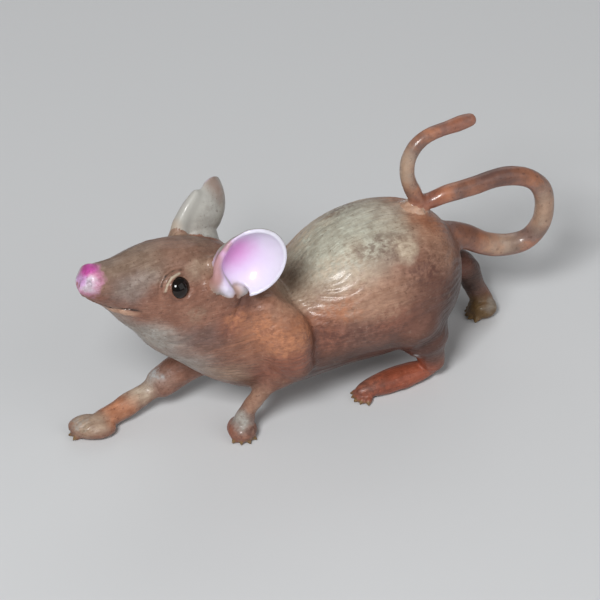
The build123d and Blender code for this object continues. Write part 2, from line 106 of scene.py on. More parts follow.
# Paint on the fur, in the order it is brushed on, with painted shade and painted highlights among it: pot,
# strength, place as (along, out, up), reach each way and softness of the edge
FUR_PAINT_SHADE_AND_HIGHLIGHTS = (
    # trunk
    # Painted shade: the next four rows darken the haunch, the belly and lower flank and the rump low down,
    # where shade falls.
    ("umber", 0.85, (30.0, 14.0, 23.0), (16.0, 12.0, 14.0), 0.6),
    ("umber", 0.80, (3.0, 13.0, 13.0), (32.0, 13.0, 9.5), 0.6),
    ("ink", 0.60, (34.0, 15.5, 24.5), (7.0, 6.0, 9.0), 0.7),
    ("ink", 0.50, (4.0, 12.0, 17.0), (30.0, 12.0, 6.0), 0.6),
    ("rust", 0.60, (-4.0, 15.0, 29.0), (9.0, 6.0, 5.5), 0.7),
    ("mauve", 0.50, (3.7, 17.5, 29.0), (5.0, 6.0, 6.0), 0.8),
    ("rust", 0.45, (12.0, 19.0, 29.0), (6.0, 6.0, 5.0), 0.8),
    ("salmon", 0.75, (7.0, 14.5, 37.0), (12.0, 7.0, 6.0), 0.6),
    ("sand", 0.90, (-7.0, 6.0, 38.0), (8.0, 7.0, 5.5), 0.7),
    ("sand", 0.85, (16.0, 0.0, 50.0), (27.0, 15.0, 9.0), 0.4),
    # Sage paint along the back, laid paler than the paint alone as a painted highlight where the top catches
    # the light.
    ("sage", 1.00, (4.0, 2.0, 47.5), (17.0, 13.0, 9.0), 0.6),
    ("orange", 0.85, (31.5, 5.0, 45.0), (7.0, 6.0, 4.5), 0.7),
    ("salmon", 0.50, (30.3, 12.0, 40.4), (6.0, 5.0, 5.0), 0.7),
    ("cream", 0.95, (20.1, 12.1, 44.2), (3.0, 3.0, 3.0), 0.6),
    ("cream", 0.40, (7.7, 7.4, 45.8), (3.0, 3.0, 3.0), 0.7),
    # shoulder
    ("orange", 0.75, (-19.0, 16.0, 35.0), (11.0, 8.0, 8.5), 0.6),
    ("salmon", 0.40, (-16.0, 14.0, 41.0), (6.0, 6.0, 3.6), 0.7),
    ("rust", 0.70, (-17.7, 18.5, 26.0), (7.0, 5.0, 4.5), 0.6),
    ("rust", 0.55, (-20.7, 14.0, 21.5), (5.0, 5.0, 4.0), 0.6),
    ("umber", 0.60, (-9.5, 15.0, 25.5), (3.4, 6.0, 8.0), 0.6),
    # head
    ("olive", 0.85, (-48.0, 0.0, 61.5), (20.0, 9.0, 7.5), 0.45),
    ("brown", 0.55, (-40.0, 4.0, 60.0), (7.0, 7.0, 5.0), 0.6),
    ("mauve", 0.65, (-57.0, 6.2, 55.5), (6.5, 5.0, 4.5), 0.6),
    # Painted highlights: the two bone rows lighten the top of the snout where glints fall.
    ("bone", 0.45, (-56.5, 6.2, 56.1), (4.0, 3.0, 2.6), 0.8),
    ("bone", 0.30, (-50.9, 6.4, 58.0), (3.0, 2.4, 1.6), 0.8),
    ("sand", 0.75, (-37.0, 7.2, 56.0), (3.6, 3.6, 2.6), 0.8),
    ("brown", 0.80, (-38.0, 11.0, 48.5), (7.0, 5.0, 6.0), 0.6),
    ("mauve", 0.85, (-39.5, 12.3, 38.5), (8.0, 5.0, 4.0), 0.6),
    ("umber", 0.75, (-27.0, 11.5, 45.0), (4.0, 4.5, 3.6), 0.6),
    ("rust", 0.60, (-31.5, 13.4, 40.5), (4.0, 4.0, 4.0), 0.7),
    ("bone", 0.90, (-51.5, 4.0, 38.5), (11.0, 8.0, 6.5), 0.5),
    ("bone", 0.75, (-42.0, 4.0, 27.0), (9.0, 9.0, 7.5), 0.6),
    ("sand", 0.50, (-31.8, 10.0, 21.9), (6.0, 6.0, 5.0), 0.6),
    ("bone", 0.45, (-61.0, 2.0, 46.0), (6.0, 6.0, 4.0), 0.6),
    ("salmon", 0.85, (-58.7, 4.6, 48.9), (4.8, 3.6, 1.0), 0.6),
    ("rust", 0.65, (-64.2, 2.0, 54.6), (3.0, 3.6, 2.0), 0.6),
    ("rose", 1.00, (-66.2, 0.0, 59.6), (4.8, 6.0, 4.4), 0.16),
    ("white", 0.85, (-65.8, 2.6, 58.6), (2.6, 2.2, 1.8), 0.5),
    ("lilac", 0.85, (-67.9, 0.4, 60.0), (1.8, 2.0, 2.2), 0.5),
    ("magenta", 0.95, (-64.9, 0.2, 62.4), (2.6, 2.6, 1.8), 0.5),
    # left fore leg
    ("brown", 0.60, (-20.0, 15.2, 17.0), (4.0, 4.0, 3.5), 0.6),
    ("salmon", 0.55, (-24.6, 13.0, 12.5), (4.0, 4.0, 4.0), 0.6),
    ("bone", 0.92, (-28.2, 11.6, 6.4), (3.0, 3.4, 3.2), 0.5),
    ("rust", 0.75, (-30.0, 9.0, 2.2), (3.0, 4.5, 2.6), 0.6),
    # right fore leg
    ("brown", 0.65, (-39.0, 6.0, 9.5), (6.0, 5.0, 5.0), 0.6),
    ("bone", 0.70, (-45.0, 8.4, 11.0), (7.0, 4.5, 2.8), 0.6),
    ("brown", 0.60, (-40.0, 6.0, 9.5), (3.6, 4.0, 3.0), 0.6),
    ("cream", 0.60, (-47.0, 8.8, 7.8), (4.0, 4.0, 2.4), 0.7),
    ("apricot", 0.85, (-53.6, 8.0, 6.0), (4.5, 4.5, 3.6), 0.7),
    ("sand", 0.85, (-61.5, 8.6, 4.6), (4.6, 5.0, 3.0), 0.5),
    # left hind leg
    # Painted shade: umber darkens the left hind leg low on the haunch and the hock.
    ("umber", 0.60, (25.0, 17.5, 12.0), (7.0, 6.0, 6.0), 0.6),
    ("ember", 0.92, (17.0, 13.0, 3.5), (13.0, 6.0, 5.5), 0.45),
    ("brown", 0.45, (8.0, 12.5, 4.4), (4.0, 4.0, 1.6), 0.6),
    # right hind leg
    # Painted shade: ink darkens the right hind leg's shank.
    ("ink", 0.75, (48.0, 6.0, 15.0), (9.0, 7.0, 11.0), 0.5),
    ("rust", 0.60, (46.5, 5.0, 17.0), (3.5, 3.0, 3.5), 0.6),
    ("gold", 0.95, (52.0, 2.0, 3.0), (6.0, 6.0, 3.4), 0.5),
    # Painted highlight: a small bone-coloured glint on the right hind paw.
    ("bone", 0.55, (54.4, 1.0, 4.6), (1.8, 2.6, 1.6), 0.6),
)

# Paint dragged on with a nearly dry brush, whose edges stay ragged, with two painted highlights laid on the
# same way
DRY_PAINT_AND_HIGHLIGHTS = (
    ("apricot", 1.00, (-23.5, 15.5, 37.0), (5.0, 4.4, 3.2), 0.7),
    ("apricot", 1.00, (-18.5, 18.5, 32.6), (6.0, 4.6, 3.6), 0.7),
    ("apricot", 0.70, (-30.0, 13.4, 41.0), (3.6, 3.6, 2.6), 0.7),
    ("apricot", 0.80, (-12.0, 16.2, 33.5), (3.8, 4.4, 3.8), 0.7),
    ("apricot", 0.70, (-2.0, 15.0, 33.5), (6.0, 4.4, 2.8), 0.7),
    ("salmon", 0.70, (11.0, 18.0, 32.5), (5.5, 4.4, 2.8), 0.7),
    ("sand", 0.40, (-41.0, 11.6, 46.0), (3.0, 3.0, 2.0), 0.8),
    ("umber", 0.75, (24.0, 15.5, 38.5), (6.0, 5.0, 3.4), 0.7),
    ("umber", 0.60, (13.0, 9.5, 45.0), (8.0, 4.0, 3.0), 0.7),
    ("umber", 0.75, (6.0, 16.0, 26.0), (13.0, 6.0, 4.0), 0.7),
    ("umber", 0.70, (-4.0, 15.5, 29.5), (4.0, 4.4, 3.4), 0.7),
    ("cream", 0.70, (2.0, 10.0, 42.0), (10.0, 6.0, 3.0), 0.7),
    ("umber", 0.80, (-26.4, 14.0, 3.4), (2.2, 2.4, 2.0), 0.6),
    ("umber", 0.70, (10.0, 12.0, 3.6), (5.0, 5.0, 2.0), 0.7),
    # Painted highlights: the two mist rows are pale bluish glints on the left hock and along the upper edge
    # of the right foreleg.
    ("mist", 0.90, (21.2, 16.6, 9.6), (1.8, 2.2, 2.0), 0.5),
    ("mist", 0.70, (-42.5, 9.6, 12.4), (3.0, 2.4, 1.0), 0.6),
    ("bone", 0.80, (-64.2, 9.6, 4.6), (2.2, 3.0, 1.2), 0.6),
    ("gold", 0.80, (-64.0, 6.6, 4.4), (1.6, 1.6, 1.2), 0.5),
)

# Thin lines of paint: pot, strength, half width, and places along the line as (along, out, up)
LINES = (
    ("ink", 0.85, 0.30, ((-62.6, 2.0, 51.4), (-60.7, 3.3, 50.3), (-56.2, 6.7, 50.0), (-54.2, 7.8, 49.2))),
    ("cream", 0.80, 0.45, ((-47.9, 8.6, 54.2), (-47.2, 8.2, 55.6), (-45.6, 7.7, 57.0), (-43.4, 7.6, 57.2))),
    ("ink", 0.70, 0.30, ((-48.4, 7.9, 55.4), (-46.8, 7.1, 57.2), (-44.6, 6.9, 57.9), (-42.6, 7.1, 57.7))),
    ("rust", 0.80, 0.35, ((-68.0, 0.6, 60.4), (-68.0, 0.6, 58.0), (-66.8, 0.8, 55.6))),
)

# Feet: place of the knuckles, bearing in degrees, reach to the claws, and the fan of the toes
FEET = (
    ((-27.5, -9.9), 255.0, 3.9, (-50.0, -17.0, 17.0, 50.0)),
    ((-62.5, 11.0), 149.0, 3.9, (-50.0, -17.0, 17.0, 50.0)),
    ((9.4, -11.2), 180.0, 4.6, (-34.0, -12.0, 10.0, 34.0, 62.0)),
    ((52.9, 4.2), 155.0, 4.4, (-34.0, -12.0, 10.0, 34.0, 62.0)),
)

# Paint inside the cup of each ear: lilac and magenta at the upper front, partly the ear's pink paint and
# partly painted shade where the front wall shades the cup
EAR_CUP_PAINT_AND_SHADE = (
    ("lilac", 0.60, (-28.0, 10.5, 58.5), (7.0, 6.0, 6.5), 0.8),
    ("magenta", 0.60, (-29.0, 9.5, 60.0), (5.0, 4.5, 4.0), 0.8),
)
# Paint on each ear's rolled front edge, foot and rim
EAR_EDGE_PATCHES = {
    "left_ear": (
        ("brown", 0.90, (-34.0, 6.0, 50.5), (4.6, 4.2, 4.4), 0.4),
        ("salmon", 0.80, (-30.6, 10.2, 48.4), (3.6, 3.6, 3.2), 0.5),
        ("blush", 0.95, (-35.4, 11.2, 56.5), (2.2, 3.0, 3.4), 0.45),
        ("blush", 0.90, (-34.4, 10.4, 60.4), (1.9, 2.4, 2.6), 0.45),
        ("blush", 0.75, (-31.8, 11.0, 64.0), (1.9, 2.0, 1.9), 0.5),
        ("brown", 0.70, (-35.6, 11.0, 53.0), (2.6, 2.6, 2.6), 0.6),
        ("brown", 0.60, (-30.4, 12.0, 47.2), (2.4, 2.4, 2.2), 0.6),
    ),
    "right_ear": (
        ("brown", 0.85, (-35.0, 7.0, 51.0), (5.0, 5.0, 4.4), 0.4),
        ("bone", 0.95, (-34.6, 10.0, 58.0), (4.2, 4.6, 4.2), 0.35),
        ("bone", 0.95, (-31.4, 11.2, 62.4), (4.2, 4.6, 3.6), 0.35),
        ("bone", 0.95, (-28.0, 11.6, 66.0), (4.0, 4.4, 3.4), 0.35),
        ("brown", 0.55, (-22.0, 13.6, 62.0), (3.0, 3.4, 9.0), 0.6),
        ("sand", 0.60, (-36.0, 9.4, 57.0), (1.8, 2.4, 3.2), 0.6),
    ),
}
# Paint along the tail
TAIL_PATCHES = (
    ("umber", 0.60, (44.0, 1.0, 34.0), (6.0, 6.0, 6.0), 0.7),
    ("sand", 0.55, (54.0, 4.0, 27.5), (5.0, 5.0, 4.0), 0.7),
    ("sand", 0.65, (63.8, 8.0, 38.0), (4.0, 5.0, 7.0), 0.7),
    ("umber", 0.70, (50.0, 6.0, 52.0), (10.0, 6.0, 4.0), 0.7),
    ("sand", 0.70, (25.0, 1.0, 61.0), (4.0, 4.0, 7.0), 0.7),
    ("rust", 0.60, (33.5, 1.0, 49.0), (5.0, 4.0, 3.5), 0.6),
    ("rust", 0.50, (41.0, 1.0, 69.0), (7.0, 4.0, 3.0), 0.6),
)

# Lights: name, place from the aim and size in metres, and power in watts
LIGHTS = (
    ("key", (-0.65, -0.62, 0.94), 0.35, 14.0),
    ("fill", (0.49, -1.05, 0.77), 1.2, 4.0),
    ("rim", (0.70, 0.98, 0.84), 1.0, 3.0),
)


class MouseChasing(bpy.types.PropertyGroup):
    """Sizes of the chasing: how the castings are worked into one skin."""

    mesh_step: FloatProperty(
        name="Mesh step", description="Edge length of the chased skin's faces",
        default=FULL_STEP, min=0.0002, max=0.002, precision=5, unit="LENGTH",
    )
    leg_fillet: FloatProperty(
        name="Leg fillet", description="Reach of the worked seam round each leg",
        default=0.0042, min=0.0, precision=4, unit="LENGTH",
    )
    ear_fillet: FloatProperty(
        name="Ear fillet", description="Reach of the worked seam round each ear",
        default=0.0030, min=0.0, precision=4, unit="LENGTH",
    )
    tail_fillet: FloatProperty(
        name="Tail fillet", description="Reach of the worked seam round the tail and its bead",
        default=0.0016, min=0.0, precision=4, unit="LENGTH",
    )
    eye_setback: FloatProperty(
        name="Eye setback", description="How far the socket lies behind the eye's bead",
        default=0.0006, min=0.0, precision=4, unit="LENGTH",
    )
    lid_height: FloatProperty(
        name="Lid height", description="How far the upper lid stands over the eye",
        default=0.0006, min=0.0, precision=4, unit="LENGTH",
    )
    fur_depth: FloatProperty(
        name="Fur depth", description="Depth of the tufts combed into the fur",
        default=0.00009, min=0.0, precision=5, unit="LENGTH",
    )


def pot(name, colour):
    """A paint pot: one colour that the brush uses."""
    return FloatVectorProperty(
        name=name.capitalize(), description="Colour of the pot of " + name + " paint",
        default=colour, min=0.0, max=1.0, size=3, subtype="COLOR",
    )


class MousePaint(bpy.types.PropertyGroup):
    """The paint pots, as linear colours."""

    brown: pot("brown", (0.300, 0.145, 0.098))
    umber: pot("umber", (0.125, 0.055, 0.042))
    mauve: pot("mauve", (0.210, 0.128, 0.108))
    rust: pot("rust", (0.320, 0.112, 0.068))
    ember: pot("ember", (0.370, 0.100, 0.052))
    orange: pot("orange", (0.440, 0.190, 0.105))
    apricot: pot("apricot", (0.570, 0.255, 0.135))
    salmon: pot("salmon", (0.520, 0.325, 0.225))
    sand: pot("sand", (0.470, 0.360, 0.265))
    sage: pot("sage", (0.560, 0.570, 0.475))
    olive: pot("olive", (0.290, 0.220, 0.165))
    cream: pot("cream", (0.690, 0.590, 0.450))
    bone: pot("bone", (0.440, 0.430, 0.395))
    mist: pot("mist", (0.550, 0.620, 0.650))
    white: pot("white", (0.740, 0.720, 0.830))
    blush: pot("blush", (0.470, 0.255, 0.260))
    rose: pot("rose", (0.680, 0.300, 0.470))
    magenta: pot("magenta", (0.680, 0.095, 0.480))
    lilac: pot("lilac", (0.680, 0.400, 0.780))
    gold: pot("gold", (0.200, 0.125, 0.045))
    ink: pot("ink", (0.030, 0.018, 0.015))


class MouseStage(bpy.types.PropertyGroup):
    """The camera and the light."""

    azimuth: FloatProperty(
        name="Azimuth", description="Side from which the camera looks",
        default=math.radians(-29.0), unit="ROTATION",
    )
    elevation: FloatProperty(
        name="Elevation", description="Height of the camera above the horizon",
        default=math.radians(38.0), unit="ROTATION",
    )
    distance: FloatProperty(
        name="Distance", description="From the camera to the middle of the picture",
        default=1.4, unit="LENGTH",
    )
    frame_width: FloatProperty(
        name="Frame width", description="Width of the picture at the middle of the mouse",
        default=0.156, unit="LENGTH",
    )
    aim: FloatVectorProperty(
        name="Aim", description="Place at the middle of the picture",
        default=(-0.000796, 0.006938, 0.023265), size=3, precision=5, subtype="TRANSLATION", unit="LENGTH",
    )
    floor_colour: FloatVectorProperty(
        name="Floor", description="Colour of the floor",
        default=(0.62, 0.63, 0.64), min=0.0, max=1.0, size=3, subtype="COLOR",
    )


# Chasing: the castings are worked into one skin


def roll_wax(joined, side, roll):
    """Adds a roll of wax, as close-set balls that the skin is drawn over."""
    for start, end in zip(roll[:-1], roll[1:]):
        for share in np.linspace(0.0, 1.0, ROLL_BALLS):
            along, out, up, radius = np.array(start) * (1.0 - share) + np.array(end) * share
            place = Vector((along, MIDLINE + side * out, up)) * MILLIMETRE
            bmesh.ops.create_icosphere(
                joined, subdivisions=2, radius=radius * MILLIMETRE, matrix=Matrix.Translation(place),
            )


def joined_skin(step):
    """Points in millimetres and four-sided faces of one skin over all the castings and eyes."""
    joined = bmesh.new()
    for name in LABELS:
        joined.from_mesh(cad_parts[name].data)
    for side, roll in EAR_ROLLS:
        roll_wax(joined, side, roll)
    mesh = bpy.data.meshes.new("joined_castings")
    joined.to_mesh(mesh)
    joined.free()
    source = bpy.data.objects.new("joined_castings", mesh)
    bpy.context.collection.objects.link(source)
    remesh = source.modifiers.new("one skin", "REMESH")
    remesh.mode = "VOXEL"
    remesh.voxel_size = step
    remesh.adaptivity = 0.0
    graph = bpy.context.evaluated_depsgraph_get()
    skin = bpy.data.meshes.new_from_object(source.evaluated_get(graph))
    points = np.empty(len(skin.vertices) * 3)
    skin.vertices.foreach_get("co", points)
    corners = np.empty(len(skin.loops), dtype=np.int32)
    skin.loops.foreach_get("vertex_index", corners)
    if len(corners) != 4 * len(skin.polygons):
        raise RuntimeError("the skin has faces that aren't four-sided")
    bpy.data.objects.remove(source)
    for old in (mesh, skin):
        bpy.data.meshes.remove(old)
    return points.reshape(-1, 3) / MILLIMETRE, corners.reshape(-1, 4).astype(np.int64)


def edges_of(quads, count):
    """Each edge of the faces once, as a pair of points."""
    pairs = np.concatenate([quads[:, [k, (k + 1) % 4]] for k in range(4)])
    pairs.sort(axis=1)
    keys = np.unique(pairs[:, 0] * count + pairs[:, 1])
    return np.stack([keys // count, keys % count], axis=1)


def islands(edges, count):
    """A number for each point that is the same all over a connected part."""
    island = np.arange(count)
    while True:
        low = np.minimum(island[edges[:, 0]], island[edges[:, 1]])
        lower = island.copy()
        np.minimum.at(lower, edges[:, 0], low)
        np.minimum.at(lower, edges[:, 1], low)
        lower = lower[lower]
        if (lower == island).all():
            return island
        island = lower


def outer_island(points, quads):
    """The largest connected part of the skin, without the walls of the hollow inside."""
    island = islands(edges_of(quads, len(points)), len(points))
    kept = np.flatnonzero(island == np.bincount(island).argmax())
    number = np.full(len(points), -1)
    number[kept] = np.arange(len(kept))
    inside = (number[quads] >= 0).all(axis=1)
    return points[kept], number[quads[inside]]


def nearest_labels(points, edges):
    """The number of the casting that each point of the skin belongs to."""
    graph = bpy.context.evaluated_depsgraph_get()
    best = np.full(len(points), np.inf)
    labels = np.zeros(len(points), dtype=np.int64)
    for number, name in enumerate(LABELS):
        low, high = (np.array(corner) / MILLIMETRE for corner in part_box(name))
        near = np.flatnonzero(((points > low - 2.0) & (points < high + 2.0)).all(axis=1))
        tree = BVHTree.FromObject(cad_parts[name], graph)
        gaps = np.array([tree.find_nearest(place)[3] for place in (points[near] * MILLIMETRE).tolist()])
        closer = gaps < best[near]
        best[near[closer]] = gaps[closer]
        labels[near[closer]] = number
    count = len(LABELS)
    for _ in range(3):
        votes = np.bincount(edges[:, 0] * count + labels[edges[:, 1]], minlength=len(points) * count)
        votes = votes + np.bincount(edges[:, 1] * count + labels[edges[:, 0]], minlength=len(points) * count)
        labels = votes.reshape(-1, count).argmax(axis=1)
    return labels


def relaxed(points, edges, weights, rounds):
    """Points moved towards the middle of their neighbours, by each point's weight."""
    count = len(points)
    neighbours = np.bincount(edges.ravel(), minlength=count)[:, None]
    first, second = edges.T
    for _ in range(rounds):
        total = np.stack([
            np.bincount(first, points[second, axis], count) + np.bincount(second, points[first, axis], count)
            for axis in range(3)
        ], axis=1)
        points = points + weights[:, None] * (total / neighbours - points)
    return points


def normals_of(points, quads):
    """The way each point of the skin faces."""
    facing = np.cross(points[quads[:, 2]] - points[quads[:, 0]], points[quads[:, 3]] - points[quads[:, 1]])
    total = np.zeros_like(points)
    for corner in range(4):
        for axis in range(3):
            total[:, axis] += np.bincount(quads[:, corner], facing[:, axis], len(points))
    return total / np.maximum(np.linalg.norm(total, axis=1), 1e-12)[:, None]


def fillet_reach(first, second, sizes):
    """How far the seam between two castings is worked, in millimetres."""
    names = LABELS[first] + " " + LABELS[second]
    if "eye" in names or names in ("torso head", "head torso"):
        return 0.0
    if "tail" in names:
        return sizes.tail_fillet / MILLIMETRE
    if "ear" in names:
        return sizes.ear_fillet / MILLIMETRE
    return sizes.leg_fillet / MILLIMETRE


def seam_weights(points, edges, labels, sizes):
    """How much each point is smoothed: fully at a worked seam, and less with distance."""
    pairs = labels[edges]
    seams = edges[pairs[:, 0] != pairs[:, 1]]
    rows = [(edge, fillet_reach(*labels[edge], sizes)) for edge in seams]
    rows = [(edge, reach) for edge, reach in rows if reach > 0]
    tree = kdtree.KDTree(len(rows))
    for number, (edge, _) in enumerate(rows):
        tree.insert(points[edge].mean(axis=0), number)
    tree.balance()
    weights = np.zeros(len(points))
    for number, place in enumerate(points.tolist()):
        _, row, gap = tree.find(place)
        share = max(0.0, 1.0 - gap / rows[row][1])
        weights[number] = share * share * (3.0 - 2.0 * share)
    for side, roll in EAR_ROLLS:
        path = [(along, MIDLINE + side * out, up) for along, out, up, _ in roll]
        near = np.clip(2.0 - path_gap(points, path) / 2.0, 0.0, 1.0)
        weights = np.maximum(weights, ROLL_SMOOTHING * near)
    return weights


def path_gap(points, path):
    """Distance from each point to a line through the places of a path."""
    gap = np.full(len(points), np.inf)
    for start, end in zip(path[:-1], path[1:]):
        start, end = np.array(start), np.array(end)
        run = end - start
        share = np.clip((points - start) @ run / (run @ run), 0.0, 1.0)
        gap = np.minimum(gap, np.linalg.norm(points - start - share[:, None] * run, axis=1))
    return gap


def mirrored(points):
    """Points as (along, out from the midline, up)."""
    return np.stack([points[:, 0], np.abs(points[:, 1] - MIDLINE), points[:, 2]], axis=1)


def fold_heights(points):
    """Heights of the folds that are cut or raised with a chasing tool."""
    places = mirrored(points)
    heights = np.zeros(len(points))
    for height, width, path in FOLDS:
        heights += height * np.exp(-((path_gap(places, path) / width) ** 2))
    return heights


def lid_heights(points, sizes):
    """Heights of the lids round the eyes, most on the upper front side."""
    heights = np.zeros(len(points))
    for name in EYES:
        middle, radius = node_middle(name), node_radius(name)
        reach = points - middle
        gap = np.linalg.norm(reach, axis=1)
        upper = (reach @ np.array((-0.55, 0.0, 0.84))) / np.maximum(gap, 0.001)
        share = 0.10 + 0.90 * np.clip(upper, 0.0, 1.0)
        heights -= 0.9 * np.exp(-(((gap - radius - 0.2) / 0.5) ** 2))
        heights += share * np.exp(-(((gap - radius - 1.2) / 0.5) ** 2))
        heights -= 0.7 * share * np.exp(-(((gap - radius - 2.3) / 0.5) ** 2))
    return heights * sizes.lid_height / MILLIMETRE


def fur_heights(points, labels):
    """Tufts combed back along the body, as shares of the fur's depth."""
    heights = np.zeros(len(points))
    furred = np.flatnonzero(labels < len(FUR_CASTINGS))
    for number in furred:
        along, out, up = points[number]
        around = math.atan2(up - 28.0, out - MIDLINE) * 17.0
        drift = noise.noise((along / 13.0, out / 9.0, up / 9.0))
        fade = noise.noise((along / 6.0, out / 4.0, up / 4.0 + 40.0))
        combed = math.exp(-(((along + 3.0) / 7.0) ** 2) - ((up - 37.0) / 5.0) ** 2)
        strokes = math.sin(around * 2.7 + drift * 9.0 + along * 0.12)
        heights[number] = strokes * (0.5 + fade) * (1.0 + 0.7 * combed)
    return heights


def lump_heights(points, labels):
    """Hammer marks on the tail and lumps of filler in its bead."""
    heights = np.zeros(len(points))
    for name, depth, grain in (("tail", 0.10, 4.0), ("tail_weld", 0.35, 1.6)):
        for number in np.flatnonzero(labels == LABELS.index(name)):
            heights[number] = depth * noise.noise(points[number] / grain)
    return heights


def build_skin(sizes):
    """The chased skin as points in millimetres, faces, normals and face labels."""
    step = sizes.mesh_step * 1.0
    points, quads = outer_island(*joined_skin(step))
    edges = edges_of(quads, len(points))
    labels = nearest_labels(points, edges)
    everywhere = np.ones(len(points))
    weights = seam_weights(points, edges, labels, sizes)
    points = relaxed(points, edges, 0.6 * weights, int(SEAM_ROUNDS * (FULL_STEP / step) ** 2))
    for _ in range(3):
        points = relaxed(points, edges, 0.50 * everywhere, 1)
        points = relaxed(points, edges, -0.53 * everywhere, 1)
    normals = normals_of(points, quads)
    heights = fold_heights(points) + lid_heights(points, sizes) + lump_heights(points, labels)
    heights += fur_heights(points, labels) * sizes.fur_depth / MILLIMETRE
    points = points + normals * heights[:, None]
    for name in EYES:
        socket = labels == LABELS.index(name)
        middle = node_middle(name)
        points[socket] += (middle - points[socket]) * (sizes.eye_setback / MILLIMETRE / node_radius(name))
    labels[labels >= LABELS.index(EYES[0])] = LABELS.index("head")
    corners = np.sort(labels[quads], axis=1)
    return points, quads, normals_of(points, quads), corners[:, 1]


SKIN_PARTS = {}


def rim_caps(points, quads):
    """Fans that close the open rims of a casting's skin: their middles, and their triangles."""
    count = len(points)
    sides = np.concatenate([quads[:, [k, (k + 1) % 4]] for k in range(4)])
    paired = np.isin(sides[:, 0] * count + sides[:, 1], sides[:, 1] * count + sides[:, 0])
    rims = sides[~paired]
    island = islands(rims, count)[rims[:, 0]]
    middles, triangles = [], []
    for number in np.unique(island):
        rim = rims[island == number]
        triangles += [(second, first, count + len(middles)) for first, second in rim.tolist()]
        middles.append(points[rim[:, 0]].mean(axis=0))
    return middles, triangles


def casting_skin(name):
    """One casting's part of the skin as an object, closed where it meets its neighbours."""
    points, quads, normals, labels = SKIN_PARTS[SKIN]
    used, corners = np.unique(quads[labels == LABELS.index(name)], return_inverse=True)
    corners = corners.reshape(-1, 4)
    middles, caps = rim_caps(points[used], corners)
    places = np.concatenate([points[used], np.array(middles).reshape(-1, 3)]) * MILLIMETRE
    mesh = bpy.data.meshes.new(name + "_skin")
    mesh.from_pydata(places.tolist(), [], corners.tolist() + caps)
    mesh.shade_smooth()
    mesh.normals_split_custom_set_from_vertices(normals[used].tolist() + [(0.0, 0.0, 1.0)] * len(middles))
    piece = bpy.data.objects.new(name + "_skin", mesh)
    bpy.context.collection.objects.link(piece)
    return piece


def finished(piece, node, material):
    """Puts a piece in place of its CAD node, with its finish."""
    piece.data.materials.append(material)
    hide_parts(node)
    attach(piece, "root")


# Paint: shared node groups and materials


def add(tree, kind, inputs=None, **settings):
    """A node with its settings, whose inputs are values or other nodes' sockets."""
    made = tree.nodes.new(kind)
    for name, value in settings.items():
        setattr(made, name, value)
    for name, value in (inputs or {}).items():
        if isinstance(value, bpy.types.NodeSocket):
            tree.links.new(value, made.inputs[name])
        else:
            made.inputs[name].default_value = value
    return made


def math_node(tree, operation, first, second=0.0):
    """The result of one sum."""
    return add(tree, "ShaderNodeMath", {0: first, 1: second}, operation=operation).outputs[0]


def vector_node(tree, operation, first, second=(0.0, 0.0, 0.0)):
    """The result of one sum of places."""
    return add(tree, "ShaderNodeVectorMath", {0: first, 1: second}, operation=operation).outputs[0]


def span(tree, value, low, high, to_low=0.0, to_high=1.0, smooth=True):
    """A value spread from one span to another."""
    return add(
        tree, "ShaderNodeMapRange",
        {"Value": value, "From Min": low, "From Max": high, "To Min": to_low, "To Max": to_high},
        interpolation_type="SMOOTHSTEP" if smooth else "LINEAR",
    ).outputs["Result"]


def mixed(tree, share, first, second, blend="MIX"):
    """Two colours mixed."""
    return add(
        tree, "ShaderNodeMix", {0: share, 6: first, 7: second}, data_type="RGBA", blend_type=blend,
    ).outputs[2]


def group(name, inputs, outputs):
    """An empty node group with named sockets, and its input and output nodes."""
    tree = bpy.data.node_groups.new(name, "ShaderNodeTree")
    for label, kind, default in inputs:
        socket = tree.interface.new_socket(name=label, in_out="INPUT", socket_type=kind)
        socket.default_value = default
    for label, kind in outputs:
        tree.interface.new_socket(name=label, in_out="OUTPUT", socket_type=kind)
    return tree, tree.nodes.new("NodeGroupInput").outputs, tree.nodes.new("NodeGroupOutput").inputs


def patch_group():
    """A soft round patch of paint, as a mask."""
    tree, given, out = group("paint patch", (
        ("Position", "NodeSocketVector", (0.0, 0.0, 0.0)),
        ("Centre", "NodeSocketVector", (0.0, 0.0, 0.0)),
        ("Reach", "NodeSocketVector", (1.0, 1.0, 1.0)),
        ("Softness", "NodeSocketFloat", 0.5),
        ("Strength", "NodeSocketFloat", 1.0),
    ), (("Mask", "NodeSocketFloat"),))
    away = vector_node(tree, "SUBTRACT", given["Position"], given["Centre"])
    away = vector_node(tree, "DIVIDE", away, given["Reach"])
    length = add(tree, "ShaderNodeVectorMath", {0: away}, operation="LENGTH").outputs["Value"]
    inner = math_node(tree, "SUBTRACT", 1.0, given["Softness"])
    outer = math_node(tree, "ADD", 1.0, given["Softness"])
    mask = span(tree, length, inner, outer, given["Strength"], 0.0)
    tree.links.new(mask, out["Mask"])
    return tree


